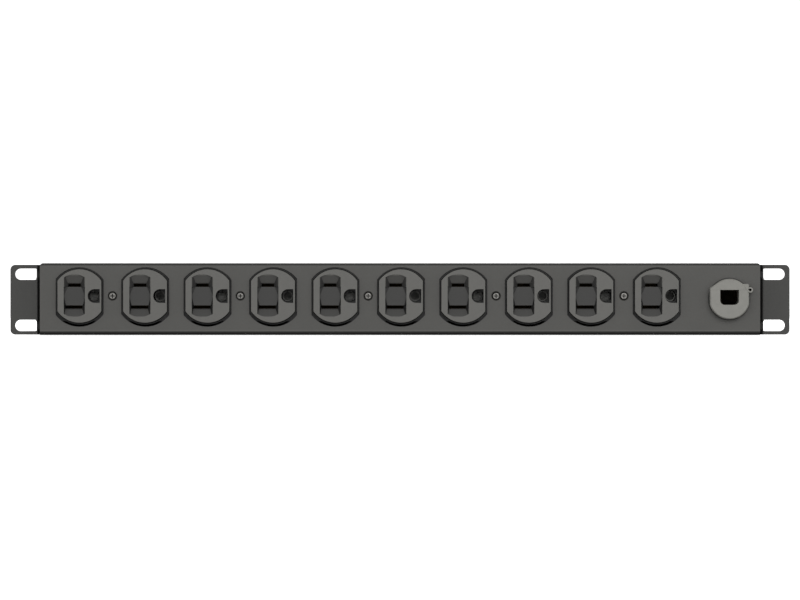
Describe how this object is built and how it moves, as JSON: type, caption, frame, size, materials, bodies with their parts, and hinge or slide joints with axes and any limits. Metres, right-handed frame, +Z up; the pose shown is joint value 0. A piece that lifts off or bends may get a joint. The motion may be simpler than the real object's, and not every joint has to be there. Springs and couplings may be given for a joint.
{
  "type": "rack power strip",
  "caption": "One-unit rack power strip with a row of three-pin outlets along its front panel, slotted rack ears and a cord bushing at one end.",
  "frame": {"origin": "middle of the bounding box in X and Y, at its lowest face", "axes": "+X along the strip to the viewer's right, +Y from the front panel to the rear cover, +Z up"},
  "size_m": [0.4826, 0.051, 0.0444],
  "materials": {
    "housing_paint": "fine smooth grey powder coat",
    "ear_paint": "slightly darker grey powder coat",
    "cover_paint": "fine smooth grey powder coat",
    "face_nylon": "moulded grey nylon",
    "base_plastic": "moulded black thermoset",
    "zinc_steel": "bright zinc plate",
    "brass": "rolled strip",
    "screw_steel": "nickel plate",
    "green_steel": "green dyed plating",
    "black_wire": "smooth insulation",
    "white_wire": "smooth insulation",
    "green_wire": "smooth insulation",
    "cap_plastic": "translucent nylon",
    "tinned_copper": "tin plate",
    "liner_paper": "grey-brown insulating paper",
    "bushing_nylon": "light grey moulded nylon"
  },
  "bodies": {
    "root": {"housing": "housing_paint", "rear_cover": "cover_paint", "rear_liner": "liner_paper", "left_rack_ear": "ear_paint", "right_rack_ear": "ear_paint", "cover_screws": "zinc_steel", "ear_screws": "zinc_steel", "receptacle_1_face": "face_nylon", "receptacle_1_yoke": "zinc_steel", "receptacle_1_base": "base_plastic", "receptacle_1_hot_contacts": "brass", "receptacle_1_neutral_contacts": "brass", "receptacle_1_ground_contacts": "brass", "receptacle_2_face": "face_nylon", "receptacle_2_yoke": "zinc_steel", "receptacle_2_base": "base_plastic", "receptacle_2_hot_contacts": "brass", "receptacle_2_neutral_contacts": "brass", "receptacle_2_ground_contacts": "brass", "receptacle_3_face": "face_nylon", "receptacle_3_yoke": "zinc_steel", "receptacle_3_base": "base_plastic", "receptacle_3_hot_contacts": "brass", "receptacle_3_neutral_contacts": "brass", "receptacle_3_ground_contacts": "brass", "receptacle_4_face": "face_nylon", "receptacle_4_yoke": "zinc_steel", "receptacle_4_base": "base_plastic", "receptacle_4_hot_contacts": "brass", "receptacle_4_neutral_contacts": "brass", "receptacle_4_ground_contacts": "brass", "receptacle_5_face": "face_nylon", "receptacle_5_yoke": "zinc_steel", "receptacle_5_base": "base_plastic", "receptacle_5_hot_contacts": "brass", "receptacle_5_neutral_contacts": "brass", "receptacle_5_ground_contacts": "brass", "receptacle_rivets": "brass", "receptacle_centre_screws": "screw_steel", "hot_terminal_screws": "brass", "neutral_terminal_screws": "screw_steel", "ground_terminal_screws": "green_steel", "hot_wire": "black_wire", "neutral_wire": "white_wire", "ground_wire": "green_wire", "hot_wire_cap": "cap_plastic", "neutral_wire_cap": "cap_plastic", "ground_wire_cap": "cap_plastic", "chassis_ground_wire": "green_wire", "chassis_ground_lug": "tinned_copper", "chassis_ground_stud": "zinc_steel", "chassis_ground_nut": "zinc_steel", "cord_bushing_body": "bushing_nylon", "cord_bushing_clamp": "bushing_nylon"}
  },
  "joints": []
}
